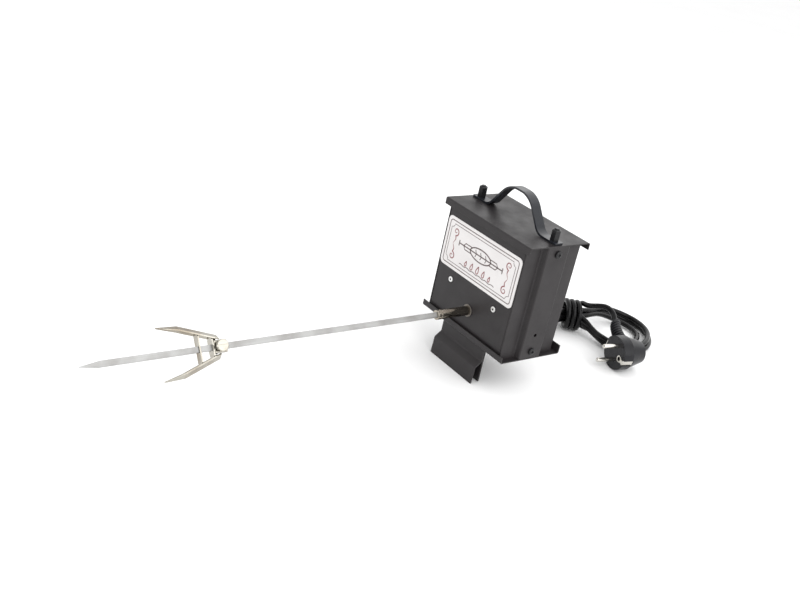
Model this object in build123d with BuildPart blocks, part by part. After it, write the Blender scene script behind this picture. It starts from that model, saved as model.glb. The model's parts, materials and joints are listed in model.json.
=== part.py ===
"""Rotisserie motor box with its spit bar, meat fork, hook bracket and mains lead.

Row frame: +Z up, the spit leaves the box towards -Y, +X is on the right seen from the front.
The origin is on the hook bracket: the middle of the back plate's front face, level with the
roof of the slot that drops over the edge of a grill. All sizes are in millimetres.
"""
from build123d import *
from math import atan2, cos, pi, radians, sin, sqrt, tan
import os

os.makedirs("parts", exist_ok=True)

# ---------------------------------------------------------------- driving dimensions
sheet = 1.0                 # case sheet
lid_width = 127.0
case_height = 120.0         # tray underside to lid top
case_depth = 68.0           # front panel face to rear panel face
panel_y = -4.0              # front panel face in the row frame
tray_z = 20.0               # tray underside in the row frame

lip_front = 3.0             # lid and tray lips stand this far before the panel
lip_rear = 6.0              # and this far behind the rear panel
lid_lip_height = 7.0
tray_lip_height = 6.5
tray_rear_lip = 9.0
bend = 1.6                  # outer bend radius of the sheet

recess = 6.0                # side strips lie this far inside the lid's edge
rib_start = 18.0            # foot of the proud middle panel, from the front
rib_run = 2.5               # run of its sloping flank
rib_gap = 0.2               # proud panel stays this far inside the lid's edge

spit_height = 25.0          # spit axis above the tray underside
spit_turn = 38.0            # rest angle of the spit, fork and screw about the axis

label_size = (110.6, 51.4)
label_middle = 79.4
label_corner = 5.0
rivet_spread = 33.5
rivet_height = 43.3
screw_heights = (8.5, 111.4)
tooling_hole_height = 26.0

hook_width = 66.0
hook_drop = 39.0            # bracket below the tray
hook_sheet = 1.5
hook_back = 4.0             # front face of the back plate behind the panel face

bar_side = 5.0
bar_tip = 386.0             # spit point before the panel
socket_end = 40.0
socket_radius = 4.75
socket_back = 8.5           # bottom of the square socket before the panel

cord_d = 6.0
floor_drop = hook_drop      # the lead lies level with the bracket's lower edge

half_lid = lid_width / 2
strip_x = half_lid - recess
rib_x = half_lid - rib_gap
case_mid = case_depth / 2
floor_z = tray_z - floor_drop
spit_z = tray_z + spit_height


# ---------------------------------------------------------------- planes and helpers
def level(height):
    """Plane parallel to the tray, its local x and y being the case's width and depth."""
    return Plane(origin=(0, panel_y, tray_z + height))


def facing(depth, height=0.0, x=0.0):
    """Plane parallel to the front panel; its normal points out of the front."""
    return Plane(origin=(x, panel_y + depth, tray_z + height), x_dir=(1, 0, 0), z_dir=(0, -1, 0))


def across(x):
    """Plane across the width; local x runs back, local y runs up."""
    return Plane(origin=(x, panel_y, tray_z), x_dir=(0, 1, 0), z_dir=(1, 0, 0))


def spit(reach):
    """Plane square to the spit, reach before the panel, turned with the spit at rest."""
    turn = radians(spit_turn)
    return Plane(origin=(0, panel_y - reach, spit_z), x_dir=(cos(turn), 0, sin(turn)),
                 z_dir=(0, -1, 0))


def save(builder, name):
    """Label the finished sub-part and write it."""
    builder.part.label = name
    export_step(builder.part, f"parts/{name}.step")


def gear_outline(teeth, module, middle_angle):
    """Closed outline of a spur gear with a tooth centred on middle_angle, in degrees."""
    pressure = radians(25)
    pitch_r = teeth * module / 2
    base_r = pitch_r * cos(pressure)
    tip_r = pitch_r + 0.85 * module
    root_r = pitch_r - 1.12 * module
    half_tooth = 0.46 * pi / teeth
    flank_steps = 4

    def half_angle(r):
        """Half the angle that the tooth fills at radius r."""
        roll = sqrt(max(r * r / (base_r * base_r) - 1, 0))
        involute = roll - atan2(roll, 1)
        return half_tooth + (tan(pressure) - pressure) - involute

    start_r = max(base_r, root_r)
    radii = [start_r + (tip_r - start_r) * i / flank_steps for i in range(flank_steps + 1)]
    if root_r < base_r:
        radii = [root_r] + radii
    points = []
    for tooth in range(teeth):
        middle = radians(middle_angle) + 2 * pi * tooth / teeth
        rising = [(r, middle - half_angle(r)) for r in radii]
        falling = [(r, middle + half_angle(r)) for r in reversed(radii)]
        points += [(r * cos(a), r * sin(a)) for r, a in rising + falling]
    return points


def corner_radii(points):
    """Each bend of a cord is as large as its two runs allow."""
    radii = []
    for before, here, after in zip(points, points[1:], points[2:]):
        run_in = Vector(here) - Vector(before)
        run_out = Vector(after) - Vector(here)
        turn = radians(run_in.get_angle(run_out))
        radii.append(0.45 * min(run_in.length, run_out.length) / tan(turn / 2))
    return radii


# ---------------------------------------------------------------- case
lid_points = [(-lip_front, case_height - lid_lip_height), (-lip_front, case_height),
              (case_depth + lip_rear, case_height),
              (case_depth + lip_rear, case_height - lid_lip_height)]
tray_points = [(case_depth + lip_rear, tray_rear_lip), (case_depth + lip_rear, 0),
               (-lip_front, 0), (-lip_front, tray_lip_height)]
tab_x = rib_x - 1.5 * sheet - 0.05      # middle of the screw tabs inside the proud panels
tab_width = 16.0
tab_height = 16.0
stud_spread = 54.0

with BuildPart() as lid:
    with BuildSketch(across(-half_lid)):
        with BuildLine():
            FilletPolyline(*lid_points, radius=bend)
            offset(amount=sheet, side=Side.RIGHT)
        make_face()
    extrude(amount=lid_width)
    with BuildSketch(level(case_height - sheet)):
        with Locations((-tab_x, case_mid), (tab_x, case_mid)):
            Rectangle(sheet, tab_width)
    extrude(amount=-tab_height)
    with BuildSketch(across(-half_lid)):
        with Locations((case_mid, screw_heights[1])):
            Circle(2.05)
    extrude(amount=lid_width, mode=Mode.SUBTRACT)
    with BuildSketch(level(case_height)):
        with Locations((-stud_spread, case_mid), (stud_spread, case_mid)):
            Circle(2.7)
    extrude(amount=-2 * sheet, mode=Mode.SUBTRACT)
save(lid, "lid")

foot_screw_place = (56.0, 24.0)
bracket_screws = ((-22.0, 14.0), (22.0, 14.0))

with BuildPart() as tray:
    with BuildSketch(across(-half_lid)):
        with BuildLine():
            FilletPolyline(*tray_points, radius=bend)
            offset(amount=sheet, side=Side.RIGHT)
        make_face()
    extrude(amount=lid_width)
    with BuildSketch(level(sheet)):
        with Locations((-tab_x, case_mid), (tab_x, case_mid)):
            Rectangle(sheet, tab_width)
    extrude(amount=tab_height)
    with BuildSketch(across(-half_lid)):
        with Locations((case_mid, screw_heights[0])):
            Circle(2.05)
    extrude(amount=lid_width, mode=Mode.SUBTRACT)
    with BuildSketch(level(0)):
        with Locations(*bracket_screws):
            Circle(2.05)
        with Locations((-foot_screw_place[0], foot_screw_place[1]), foot_screw_place):
            Circle(1.8)
    extrude(amount=sheet, mode=Mode.SUBTRACT)
save(tray, "tray")

wall_bottom = sheet + 0.05
wall_top = case_height - sheet - 0.05
wall_height = wall_top - wall_bottom
rib_end = case_depth - rib_start

for name, side in (("side_panel_left", -1), ("side_panel_right", 1)):
    with BuildPart() as side_panel:
        with BuildSketch(level(wall_bottom)):
            with BuildLine():
                FilletPolyline((side * strip_x, 0), (side * strip_x, rib_start),
                               (side * rib_x, rib_start + rib_run),
                               (side * rib_x, rib_end - rib_run),
                               (side * strip_x, rib_end), (side * strip_x, case_depth),
                               radius=bend)
                offset(amount=sheet, side=Side.LEFT if side > 0 else Side.RIGHT)
            make_face()
        extrude(amount=wall_height)
        with BuildSketch(across(0)):
            with Locations(*[(case_mid, height) for height in screw_heights]):
                Circle(2.15)
            with Locations((case_mid, tooling_hole_height)):
                Circle(1.8)
        extrude(amount=side * half_lid, mode=Mode.SUBTRACT)
    save(side_panel, name)

panel_x = strip_x - sheet - 0.1
flange = 10.0
bush_barrel = 5.4
gland_place = (-15.0, 22.0)
gland_hole = 6.2


front_outline = [(-panel_x, flange), (-panel_x, 0), (panel_x, 0), (panel_x, flange)]
rear_outline = [(-panel_x, case_depth - flange), (-panel_x, case_depth),
                (panel_x, case_depth), (panel_x, case_depth - flange)]

with BuildPart() as front_panel:
    with BuildSketch(level(wall_bottom)):
        with BuildLine():
            FilletPolyline(*front_outline, radius=bend)
            offset(amount=sheet, side=Side.LEFT)
        make_face()
    extrude(amount=wall_height)
    with BuildSketch(facing(0)):
        with Locations((0, spit_height)):
            Circle(bush_barrel + 0.05)
        with Locations((-rivet_spread, rivet_height), (rivet_spread, rivet_height)):
            Circle(1.65)
    extrude(amount=-2 * sheet, mode=Mode.SUBTRACT)
save(front_panel, "front_panel")

vent_rows = 5
with BuildPart() as rear_panel:
    with BuildSketch(level(wall_bottom)):
        with BuildLine():
            FilletPolyline(*rear_outline, radius=bend)
            offset(amount=sheet, side=Side.RIGHT)
        make_face()
    extrude(amount=wall_height)
    with BuildSketch(facing(case_depth)):
        with Locations(gland_place):
            Circle(gland_hole)
        with Locations((0, 84)):
            with GridLocations(0, 7.0, 1, vent_rows):
                SlotOverall(46, 2.6)
    extrude(amount=2 * sheet, mode=Mode.SUBTRACT)
save(rear_panel, "rear_panel")

label_thickness = 0.5
with BuildPart() as label_plate:
    with BuildSketch(facing(0)):
        with Locations((0, label_middle)):
            RectangleRounded(*label_size, label_corner)
    extrude(amount=label_thickness)
save(label_plate, "label_plate")

# ---------------------------------------------------------------- case fasteners
rivet_head = 2.9
with BuildPart() as panel_rivets:
    with BuildSketch(facing(0)):
        with Locations((-rivet_spread, rivet_height), (rivet_spread, rivet_height)):
            Circle(rivet_head)
            Circle(0.9, mode=Mode.SUBTRACT)
    extrude(amount=0.9)
    fillet(panel_rivets.edges().filter_by(GeomType.CIRCLE).group_by(Axis.Y)[0]
           .filter_by(lambda edge: edge.radius > 2), radius=0.5)
    with BuildSketch(facing(0)):
        with Locations((-rivet_spread, rivet_height), (rivet_spread, rivet_height)):
            Circle(1.6)
            Circle(0.9, mode=Mode.SUBTRACT)
    extrude(amount=-2.5 - 1.4)
    with BuildSketch(facing(2.5 + 0.05)):
        with Locations((-rivet_spread, rivet_height), (rivet_spread, rivet_height)):
            Circle(2.4)
            Circle(0.9, mode=Mode.SUBTRACT)
    extrude(amount=-1.4)
save(panel_rivets, "panel_rivets")

screw_head_r = 3.7
screw_head_h = 2.3
screw_length = 7.0
with BuildPart() as side_screws:
    for side in (-1, 1):
        with BuildSketch(across(side * rib_x)):
            with Locations(*[(case_mid, height) for height in screw_heights]):
                Circle(screw_head_r)
        extrude(amount=side * screw_head_h)
    fillet(side_screws.edges().group_by(Axis.X)[0] + side_screws.edges().group_by(Axis.X)[-1],
           radius=1.4)
    for side in (-1, 1):
        with BuildSketch(across(side * rib_x)):
            with Locations(*[(case_mid, height) for height in screw_heights]):
                Circle(2.0)
        extrude(amount=-side * screw_length)
        with BuildSketch(across(side * (rib_x + screw_head_h))):
            with Locations(*[(case_mid, height) for height in screw_heights]):
                Rectangle(3.6, 0.9)
                Rectangle(0.9, 3.6)
        extrude(amount=-side * 1.1, mode=Mode.SUBTRACT)
save(side_screws, "side_screws")

foot_head_r = 3.6
with BuildPart() as tray_screws:
    with BuildSketch(level(0)):
        with Locations((-foot_screw_place[0], foot_screw_place[1]), foot_screw_place):
            Circle(foot_head_r)
    extrude(amount=-2.6)
    fillet(tray_screws.edges().group_by(Axis.Z)[0], radius=1.4)
    with BuildSketch(level(0)):
        with Locations((-foot_screw_place[0], foot_screw_place[1]), foot_screw_place):
            Circle(1.75)
    extrude(amount=9.0)
save(tray_screws, "tray_screws")

# ---------------------------------------------------------------- hook bracket
joggle_top = 15.0
joggle_bottom = 21.0
with BuildPart() as hook_front_plate:
    with BuildSketch(across(-hook_width / 2)):
        with BuildLine():
            FilletPolyline((hook_back - hook_sheet, 0), (hook_back - hook_sheet, -joggle_top),
                           (-4.6, -joggle_bottom), (-5.4, -hook_drop), radius=2.2)
            offset(amount=hook_sheet, side=Side.LEFT)
        make_face()
    extrude(amount=hook_width)
save(hook_front_plate, "hook_front_plate")

with BuildPart() as hook_back_plate:
    with BuildSketch(across(-hook_width / 2)):
        with BuildLine():
            FilletPolyline((hook_back, -hook_drop + 1.0), (hook_back, 0), (24.0, 0), radius=0.3)
            offset(amount=hook_sheet, side=Side.RIGHT)
        make_face()
    extrude(amount=hook_width)
    with BuildSketch(level(0)):
        with Locations(*bracket_screws):
            Circle(2.15)
    extrude(amount=-2 * hook_sheet, mode=Mode.SUBTRACT)
save(hook_back_plate, "hook_back_plate")

with BuildPart() as hook_screws:
    with BuildSketch(level(-hook_sheet)):
        with Locations(*bracket_screws):
            Circle(3.6)
    extrude(amount=-2.3)
    fillet(hook_screws.edges().group_by(Axis.Z)[0], radius=1.3)
    with BuildSketch(level(-hook_sheet)):
        with Locations(*bracket_screws):
            Circle(2.0)
    extrude(amount=hook_sheet + sheet + 3.4)
    with BuildSketch(level(sheet + 0.05)):
        with Locations(*bracket_screws):
            RegularPolygon(radius=3.5, side_count=6, major_radius=False)
    extrude(amount=3.2)
save(hook_screws, "hook_screws")

# ---------------------------------------------------------------- handle
strap_width = 11.0
strap_t = 2.0
arch_top = case_height + 29.5     # underside of the grip
foot_end = 61.5
with BuildPart() as handle_strap:
    with BuildSketch(facing(case_mid + strap_width / 2)):
        with BuildLine():
            FilletPolyline((-foot_end, case_height), (-36, case_height), (-14, arch_top),
                           (14, arch_top), (36, case_height), (foot_end, case_height),
                           radius=[14, 22, 22, 14])
            offset(amount=strap_t, side=Side.LEFT)
        make_face()
    extrude(amount=strap_width)
    with BuildSketch(level(case_height)):
        with Locations((-stud_spread, case_mid), (stud_spread, case_mid)):
            Circle(2.7)
    extrude(amount=2 * strap_t, mode=Mode.SUBTRACT)
    fillet(handle_strap.edges().filter_by(Axis.Z).group_by(Axis.X)[0], radius=2.0)
    fillet(handle_strap.edges().filter_by(Axis.Z).group_by(Axis.X)[-1], radius=2.0)
save(handle_strap, "handle_strap")

nut_height = 11.0
nut_base = case_height + strap_t
with BuildPart() as handle_nuts:
    with BuildSketch(level(nut_base)):
        with Locations((-stud_spread, case_mid), (stud_spread, case_mid)):
            RegularPolygon(radius=4.0, side_count=6, major_radius=False, rotation=12)
            Circle(2.6, mode=Mode.SUBTRACT)
    extrude(amount=nut_height)
    chamfer(handle_nuts.edges().group_by(Axis.Z)[-1].filter_by(GeomType.LINE), length=0.7)
save(handle_nuts, "handle_nuts")

stud_head = 3.0
with BuildPart() as handle_studs:
    with BuildSketch(level(case_height - sheet - stud_head)):
        with Locations((-stud_spread, case_mid), (stud_spread, case_mid)):
            RegularPolygon(radius=4.0, side_count=6, major_radius=False)
    extrude(amount=stud_head)
    with BuildSketch(level(case_height - sheet)):
        with Locations((-stud_spread, case_mid), (stud_spread, case_mid)):
            Circle(2.5)
    extrude(amount=sheet + strap_t + nut_height + 1.2)
    chamfer(handle_studs.edges().group_by(Axis.Z)[-1], length=0.6)
save(handle_studs, "handle_studs")

# ---------------------------------------------------------------- gearbox
plate_x = 42.0
plate_foot = 12.0
plate_head = 100.0
front_plate_depth = 1.05        # front gear plate lies behind the front panel
plate_t = 1.5
rear_plate_depth = 33.0
spacer_places = [(-36.0, 17.0), (36.0, 17.0), (-36.0, 94.0), (36.0, 94.0)]
second_height = spit_height + 24.0      # gear centres stand one above the other
first_height = second_height + 18.0
rotor_height = first_height + 15.0
second_pin_r = 2.0
first_pin_r = 1.5
shaft_r = 4.0
running = 0.05                  # radial clearance of every running fit
motor_screw_x = 30.0

with BuildPart() as gear_plate_front:
    with BuildSketch(facing(front_plate_depth, (plate_foot + plate_head) / 2)):
        RectangleRounded(2 * plate_x, plate_head - plate_foot, 4)
    extrude(amount=-plate_t)
    with BuildSketch(facing(front_plate_depth)):
        with Locations((0, spit_height)):
            Circle(bush_barrel)
        with Locations((-rivet_spread, rivet_height), (rivet_spread, rivet_height)):
            Circle(1.65)
        with Locations((0, second_height)):
            Circle(second_pin_r)
        with Locations((0, first_height)):
            Circle(first_pin_r)
        with Locations(*spacer_places):
            Circle(1.6)
    extrude(amount=-plate_t, mode=Mode.SUBTRACT)
save(gear_plate_front, "gear_plate_front")

rear_bush_r = 5.4
with BuildPart() as gear_plate_rear:
    with BuildSketch(facing(rear_plate_depth, (plate_foot + plate_head) / 2)):
        RectangleRounded(2 * plate_x, plate_head - plate_foot, 4)
    extrude(amount=-plate_t)
    with BuildSketch(facing(rear_plate_depth)):
        with Locations((0, spit_height)):
            Circle(rear_bush_r)
        with Locations((0, second_height)):
            Circle(second_pin_r)
        with Locations((0, first_height)):
            Circle(first_pin_r)
        with Locations((0, rotor_height)):
            Circle(3.0)
        with Locations((-motor_screw_x, rotor_height), (motor_screw_x, rotor_height)):
            Circle(1.55)
        with Locations(*spacer_places):
            Circle(1.6)
    extrude(amount=-plate_t, mode=Mode.SUBTRACT)
save(gear_plate_rear, "gear_plate_rear")

spacer_front = front_plate_depth + plate_t
with BuildPart() as plate_spacers:
    with BuildSketch(facing(spacer_front)):
        with Locations(*spacer_places):
            RegularPolygon(radius=3.5, side_count=6, major_radius=False)
            Circle(1.6, mode=Mode.SUBTRACT)
    extrude(amount=-(rear_plate_depth - spacer_front))
save(plate_spacers, "plate_spacers")

with BuildPart() as spacer_screws:
    with BuildSketch(facing(rear_plate_depth + plate_t)):
        with Locations(*spacer_places):
            Circle(2.9)
    extrude(amount=-2.2)
    with BuildSketch(facing(rear_plate_depth + plate_t)):
        with Locations(*spacer_places):
            Circle(1.5)
    extrude(amount=10.0)
save(spacer_screws, "spacer_screws")

with BuildPart() as gear_pins:
    for height, pin_r in ((second_height, second_pin_r), (first_height, first_pin_r)):
        with BuildSketch(facing(front_plate_depth)):
            with Locations((0, height)):
                Circle(pin_r)
        extrude(amount=-(rear_plate_depth + plate_t - front_plate_depth))
save(gear_pins, "gear_pins")

with BuildPart() as front_bush:
    with BuildSketch(facing(0, spit_height)):
        Circle(6.4)
    extrude(amount=1.1)
    with BuildSketch(facing(0, spit_height)):
        Circle(bush_barrel)
    extrude(amount=-(spacer_front + 1.0))
    with BuildSketch(facing(-1.1, spit_height)):
        Circle(shaft_r + running)
    extrude(amount=-20, mode=Mode.SUBTRACT)
    chamfer(front_bush.edges().group_by(Axis.Y)[0].sort_by(SortBy.RADIUS)[-1], length=0.35)
save(front_bush, "front_bush")

with BuildPart() as rear_bush:
    with BuildSketch(facing(rear_plate_depth + plate_t, spit_height)):
        Circle(rear_bush_r)
    extrude(amount=plate_t)
    with BuildSketch(facing(rear_plate_depth + plate_t, spit_height)):
        Circle(rear_bush_r + 1.6)
    extrude(amount=-1.5)
    with BuildSketch(facing(rear_plate_depth - 1, spit_height)):
        Circle(shaft_r + running)
    extrude(amount=-10, mode=Mode.SUBTRACT)
save(rear_bush, "rear_bush")

wheel_teeth = 48
pinion_teeth = 12
output_module = 0.8
second_module = 0.6
first_module = 0.5
output_back = 12.0              # rear face of the output wheel behind the panel face
output_width = 6.0
gear_gap = 0.4

with BuildPart() as output_wheel:
    with BuildSketch(facing(output_back, spit_height)):
        with BuildLine():
            Polyline(*gear_outline(wheel_teeth, output_module, 90), close=True)
        make_face()
    extrude(amount=output_width)
    with BuildSketch(facing(output_back, spit_height)):
        Circle(7.0)
    extrude(amount=-3.0)
    with BuildSketch(facing(output_back + 4, spit_height)):
        Circle(shaft_r)
    extrude(amount=20, mode=Mode.SUBTRACT)
save(output_wheel, "output_wheel")

second_front = output_back - output_width - 0.5
second_wheel_back = 19.0
second_wheel_front = 15.0
with BuildPart() as second_gear:
    with BuildSketch(facing(second_wheel_back, second_height)):
        with BuildLine():
            Polyline(*gear_outline(wheel_teeth, second_module, 90), close=True)
        make_face()
    extrude(amount=second_wheel_back - second_wheel_front)
    with BuildSketch(facing(second_wheel_front, second_height)):
        with BuildLine():
            Polyline(*gear_outline(pinion_teeth, output_module, 285), close=True)
        make_face()
    extrude(amount=second_wheel_front - second_front)
    with BuildSketch(facing(second_wheel_back + 1, second_height)):
        Circle(second_pin_r + running)
    extrude(amount=20, mode=Mode.SUBTRACT)
save(second_gear, "second_gear")

first_wheel_back = 24.0
first_wheel_front = 20.5
first_front = second_wheel_front - 0.5
with BuildPart() as first_gear:
    with BuildSketch(facing(first_wheel_back, first_height)):
        with BuildLine():
            Polyline(*gear_outline(wheel_teeth, first_module, 90), close=True)
        make_face()
    extrude(amount=first_wheel_back - first_wheel_front)
    with BuildSketch(facing(first_wheel_front, first_height)):
        with BuildLine():
            Polyline(*gear_outline(pinion_teeth, second_module, 285), close=True)
        make_face()
    extrude(amount=first_wheel_front - first_front)
    with BuildSketch(facing(first_wheel_back + 1, first_height)):
        Circle(first_pin_r + running)
    extrude(amount=20, mode=Mode.SUBTRACT)
save(first_gear, "first_gear")

sleeve_runs = [(second_height, second_pin_r, spacer_front, second_front - gear_gap),
               (second_height, second_pin_r, second_wheel_back + gear_gap, rear_plate_depth),
               (first_height, first_pin_r, spacer_front, first_front - gear_gap),
               (first_height, first_pin_r, first_wheel_back + gear_gap, rear_plate_depth)]
with BuildPart() as pin_sleeves:
    for height, pin_r, start, end in sleeve_runs:
        with BuildSketch(facing(start, height)):
            Circle(pin_r + 1.0)
            Circle(pin_r, mode=Mode.SUBTRACT)
        extrude(amount=-(end - start))
save(pin_sleeves, "pin_sleeves")

shaft_front = -socket_back      # the shaft ends where the square socket starts
shaft_back = 39.5
with BuildPart() as output_shaft:
    with BuildSketch(facing(shaft_back, spit_height)):
        Circle(shaft_r)
    extrude(amount=shaft_back - shaft_front)
    with BuildSketch(facing(shaft_back - 1.0, spit_height)):
        Circle(shaft_r)
        Circle(shaft_r - 0.7, mode=Mode.SUBTRACT)
    extrude(amount=1.0, mode=Mode.SUBTRACT)
save(output_shaft, "output_shaft")

with BuildPart() as shaft_clip:
    with BuildSketch(facing(shaft_back - 1.1, spit_height)):
        Circle(shaft_r + 2.2)
        Circle(shaft_r - 0.65, mode=Mode.SUBTRACT)
        with Locations((0, -shaft_r)):
            Rectangle(4.4, 2 * shaft_r, mode=Mode.SUBTRACT)
    extrude(amount=0.8)
save(shaft_clip, "shaft_clip")

# ---------------------------------------------------------------- motor
can_r = 25.0
can_depth = 20.5
can_front = rear_plate_depth + plate_t
can_back = can_front + can_depth
with BuildPart() as motor_can:
    with BuildSketch(facing(can_back, rotor_height)):
        Circle(can_r)
    extrude(amount=can_depth)
    with BuildSketch(facing(can_back - 1.0, rotor_height)):
        Circle(can_r - 1.0)
    extrude(amount=can_depth, mode=Mode.SUBTRACT)
    with BuildSketch(facing(can_front + 1.2, rotor_height)):
        SlotOverall(2 * motor_screw_x + 9, 9)
        Circle(can_r - 1.0, mode=Mode.SUBTRACT)
        with Locations((-motor_screw_x, 0), (motor_screw_x, 0)):
            Circle(1.55, mode=Mode.SUBTRACT)
    extrude(amount=1.2)
    with BuildSketch(facing(can_back, rotor_height)):
        Circle(3.0)
    extrude(amount=2.0, mode=Mode.SUBTRACT)
    with BuildSketch(facing(can_back, rotor_height)):
        with Locations((0, -can_r + 4)):
            Rectangle(7, 4)
    extrude(amount=2.0, mode=Mode.SUBTRACT)
save(motor_can, "motor_can")

rotor_shaft_r = 1.0
with BuildPart() as rotor_bushes:
    for front, back in ((rear_plate_depth - 0.6, can_front), (can_back - 1.0, can_back + 0.8)):
        with BuildSketch(facing(back, rotor_height)):
            Circle(3.0)
            Circle(rotor_shaft_r + running, mode=Mode.SUBTRACT)
        extrude(amount=back - front)
save(rotor_bushes, "rotor_bushes")

with BuildPart() as motor_screws:
    with BuildSketch(facing(can_front + 1.2)):
        with Locations((-motor_screw_x, rotor_height), (motor_screw_x, rotor_height)):
            Circle(2.8)
    extrude(amount=-2.0)
    with BuildSketch(facing(can_front + 1.2)):
        with Locations((-motor_screw_x, rotor_height), (motor_screw_x, rotor_height)):
            Circle(1.5)
    extrude(amount=1.2 + plate_t + 3.0)
save(motor_screws, "motor_screws")

bobbin_front = can_front + 0.5
bobbin_back = can_back - 1.2
core_r = 12.5
flange_r = can_r - 1.2
with BuildPart() as coil_bobbin:
    with BuildSketch(facing(bobbin_back, rotor_height)):
        Circle(flange_r)
        Circle(core_r, mode=Mode.SUBTRACT)
    extrude(amount=1.2)
    with BuildSketch(facing(bobbin_front + 1.2, rotor_height)):
        Circle(flange_r)
        Circle(core_r, mode=Mode.SUBTRACT)
    extrude(amount=1.2)
    with BuildSketch(facing(bobbin_back, rotor_height)):
        Circle(core_r + 1.2)
        Circle(core_r, mode=Mode.SUBTRACT)
    extrude(amount=bobbin_back - bobbin_front)
save(coil_bobbin, "coil_bobbin")

with BuildPart() as coil_winding:
    with BuildSketch(facing(bobbin_back - 1.25, rotor_height)):
        Circle(flange_r - 1.5)
        Circle(core_r + 1.25, mode=Mode.SUBTRACT)
    extrude(amount=bobbin_back - bobbin_front - 2.5)
save(coil_winding, "coil_winding")

pole_count = 12
magnet_r = 10.6
with BuildPart() as pole_ring:
    with BuildSketch(facing(bobbin_back, rotor_height)):
        Circle(core_r - 0.05)
        Circle(magnet_r + 0.5, mode=Mode.SUBTRACT)
    extrude(amount=bobbin_back - bobbin_front)
    with BuildSketch(facing(bobbin_back - 1.5, rotor_height)):
        with PolarLocations(core_r - 0.7, pole_count):
            Rectangle(4.0, 1.6)
    extrude(amount=bobbin_back - bobbin_front - 3.0, mode=Mode.SUBTRACT)
save(pole_ring, "pole_ring")

with BuildPart() as rotor_magnet:
    with BuildSketch(facing(bobbin_back - 2.0, rotor_height)):
        Circle(magnet_r)
        Circle(rotor_shaft_r, mode=Mode.SUBTRACT)
    extrude(amount=bobbin_back - bobbin_front - 4.0)
save(rotor_magnet, "rotor_magnet")

pinion_front = first_wheel_front - 0.8
pinion_back = first_wheel_back + 1.0
with BuildPart() as rotor_shaft:
    with BuildSketch(facing(can_back + 0.8, rotor_height)):
        Circle(rotor_shaft_r)
    extrude(amount=can_back + 0.8 - pinion_front)
save(rotor_shaft, "rotor_shaft")

with BuildPart() as rotor_pinion:
    with BuildSketch(facing(pinion_back, rotor_height)):
        with BuildLine():
            Polyline(*gear_outline(pinion_teeth, first_module, 285), close=True)
        make_face()
        Circle(rotor_shaft_r, mode=Mode.SUBTRACT)
    extrude(amount=pinion_back - pinion_front)
save(rotor_pinion, "rotor_pinion")

# ---------------------------------------------------------------- wiring inside the case
block_place = (34.0, 53.0)
block_size = (24.0, 12.0, 14.0)
block_pitch = 8.0
with BuildPart() as terminal_block:
    with BuildSketch(level(sheet)):
        with Locations(block_place):
            RectangleRounded(block_size[0], block_size[1], 1.5)
    extrude(amount=block_size[2])
    with BuildSketch(level(sheet + block_size[2])):
        with Locations(block_place):
            with GridLocations(block_pitch, 6.0, 3, 2):
                Circle(1.6)
    extrude(amount=-9.0, mode=Mode.SUBTRACT)
save(terminal_block, "terminal_block")

with BuildPart() as terminal_screws:
    with BuildSketch(level(sheet + block_size[2] - 2.0)):
        with Locations(block_place):
            with GridLocations(block_pitch, 6.0, 3, 2):
                Circle(1.5)
    extrude(amount=-6.0)
save(terminal_screws, "terminal_screws")

earth_place = (-38.0, 54.0)
with BuildPart() as earth_screw:
    with BuildSketch(level(sheet)):
        with Locations(earth_place):
            RegularPolygon(radius=3.5, side_count=6, major_radius=False)
    extrude(amount=2.4)
    with BuildSketch(level(sheet)):
        with Locations(earth_place):
            Circle(2.0)
    extrude(amount=7.0)
save(earth_screw, "earth_screw")

# ---------------------------------------------------------------- spit, socket and fork
square_gap = 0.12               # each side of the bar in its socket and in the fork
with BuildPart() as spit_socket:
    with BuildSketch(spit(1.3)):
        Circle(socket_radius)
    extrude(amount=socket_end - 1.3)
    fillet(spit_socket.edges().group_by(Axis.Y)[0], radius=0.5)
    with BuildSketch(spit(socket_end - 5.0)):
        Circle(socket_radius)
        Circle(socket_radius - 0.35, mode=Mode.SUBTRACT)
    extrude(amount=1.2, mode=Mode.SUBTRACT)
    with BuildSketch(spit(socket_back)):
        Rectangle(bar_side + 2 * square_gap, bar_side + 2 * square_gap)
    extrude(amount=socket_end, mode=Mode.SUBTRACT)
    with BuildSketch(spit(0)):
        Circle(shaft_r)
    extrude(amount=socket_back, mode=Mode.SUBTRACT)
save(spit_socket, "spit_socket")

point_length = 16.0
bar_start = socket_back + 0.3
with BuildPart() as spit_bar:
    with BuildSketch(spit(bar_start)):
        Rectangle(bar_side, bar_side)
    extrude(amount=bar_tip - point_length - bar_start)
    with BuildSketch(spit(bar_tip - point_length)):
        Rectangle(bar_side, bar_side)
    with BuildSketch(spit(bar_tip)):
        Rectangle(0.6, 0.6)
    loft()
save(spit_bar, "spit_bar")

fork_screw_reach = 270.0
hub_side = 11.0
hub_start = 264.5
near_plate = 275.5              # wide cross plate at the end of the hub
far_plate = 287.0               # narrower brace between the prongs
fork_sheet = 1.2
prong_foot = (270.0, 10.2)      # reach along the spit and offset of each prong's ridge
prong_knee = (303.0, 21.6)
prong_tip = (321.0, 22.4)
prong_half = 4.6
wing_slope = 0.75               # fall of each wing of the V section per its half width
prong_slope = (prong_knee[1] - prong_foot[1]) / (prong_knee[0] - prong_foot[0])
bar_hole = bar_side + 2 * square_gap
screw_r = 2.0


def plate_outline(reach, waist):
    """Cross plate that fits inside both V prongs at this reach."""
    peak = prong_foot[1] + prong_slope * (reach - prong_foot[0]) - 1.5 * fork_sheet - 0.05
    wing = peak - wing_slope * prong_half + 0.2
    quarter = [(waist, 0), (prong_half - 0.3, wing), (0, peak)]
    upper = quarter + [(-x, y) for x, y in reversed(quarter[:2])]
    return upper + [(-x, -y) for x, y in upper[1:-1]]


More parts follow.
